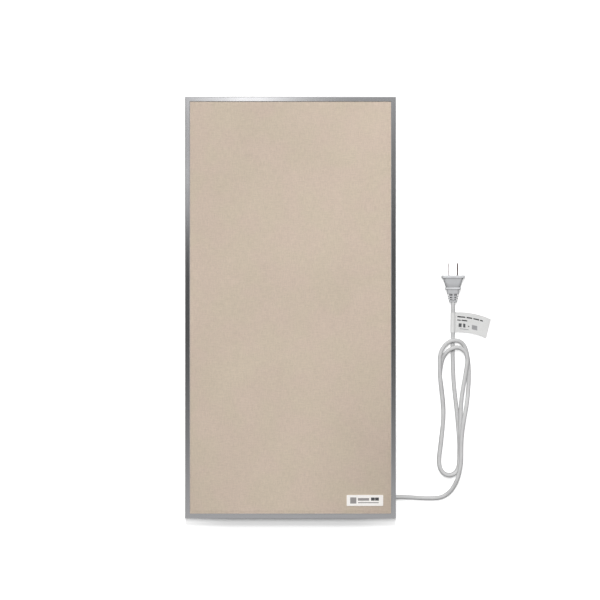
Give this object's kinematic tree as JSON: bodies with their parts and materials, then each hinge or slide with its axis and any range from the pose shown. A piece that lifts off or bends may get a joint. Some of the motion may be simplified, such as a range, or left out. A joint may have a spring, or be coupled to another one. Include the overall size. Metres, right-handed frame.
{
  "type": "heater panel",
  "caption": "Slim rectangular radiant heater panel with a mitred metal frame, a beige textured face, wall brackets, a rear terminal box and a supply cord with a flat-blade plug.",
  "frame": {"origin": "on the resting surface, below the middle of the panel, which lies on its back", "axes": "+Z out of the heated face, +Y along the long side towards the top rail, +X towards the side where the cord leaves"},
  "size_m": [0.4383, 0.6, 0.039],
  "materials": {
    "frame_metal": "brushed satin, clear anodised",
    "face_finish": "matt, fine linen grain, warm beige",
    "badge_white": "satin, bare",
    "film_grey": "satin carbon film",
    "busbar_copper": "tinned copper strip",
    "foil_bright": "bright foil",
    "insulation_felt": "mineral fibre board",
    "back_sheet": "light grey powder coat, fine texture",
    "fastener_steel": "zinc plated",
    "rubber_dark": "matt",
    "box_plastic": "fine spark texture",
    "block_plastic": "smooth",
    "terminal_brass": "machined",
    "cutoff_case": "pressed steel case",
    "wire_brown": "smooth insulation",
    "wire_blue": "smooth insulation",
    "cord_grey": "soft satin sheath",
    "plug_grey": "soft satin moulding",
    "blade_metal": "nickel plated brass",
    "tag_paper": "matt coated"
  },
  "bodies": {
    "root": {"frame_rail_left": "frame_metal", "frame_rail_right": "frame_metal", "frame_rail_bottom": "frame_metal", "frame_rail_top": "frame_metal", "front_plate": "face_finish", "badge_plate": "badge_white", "heating_film": "film_grey", "busbar_left": "busbar_copper", "busbar_right": "busbar_copper", "film_terminals": "busbar_copper", "reflector_foil": "foil_bright", "insulation_board": "insulation_felt", "back_plate": "back_sheet", "wall_brackets": "back_sheet", "corner_keys": "fastener_steel", "corner_screws": "fastener_steel", "clinch_nuts": "fastener_steel", "bracket_screws": "fastener_steel", "lid_screws": "fastener_steel", "box_screws": "fastener_steel", "terminal_screws": "fastener_steel", "clamp_screws": "fastener_steel", "bracket_pads": "rubber_dark", "box_seal": "rubber_dark", "wire_grommet": "rubber_dark", "terminal_box_base": "box_plastic", "terminal_box_lid": "box_plastic", "cord_gland": "box_plastic", "terminal_block": "block_plastic", "cord_clamp": "block_plastic", "terminal_barrels": "terminal_brass", "thermal_cutoff": "cutoff_case", "wire_link": "wire_brown", "wire_live": "wire_brown", "wire_neutral": "wire_blue", "cord_lead": "cord_grey", "cord_hank": "cord_grey", "cord_tail": "cord_grey", "cord_inner_sheath": "cord_grey", "cord_cores": "cord_grey", "plug_body": "plug_grey", "plug_blades": "blade_metal", "cord_tag": "tag_paper"}
  },
  "joints": []
}
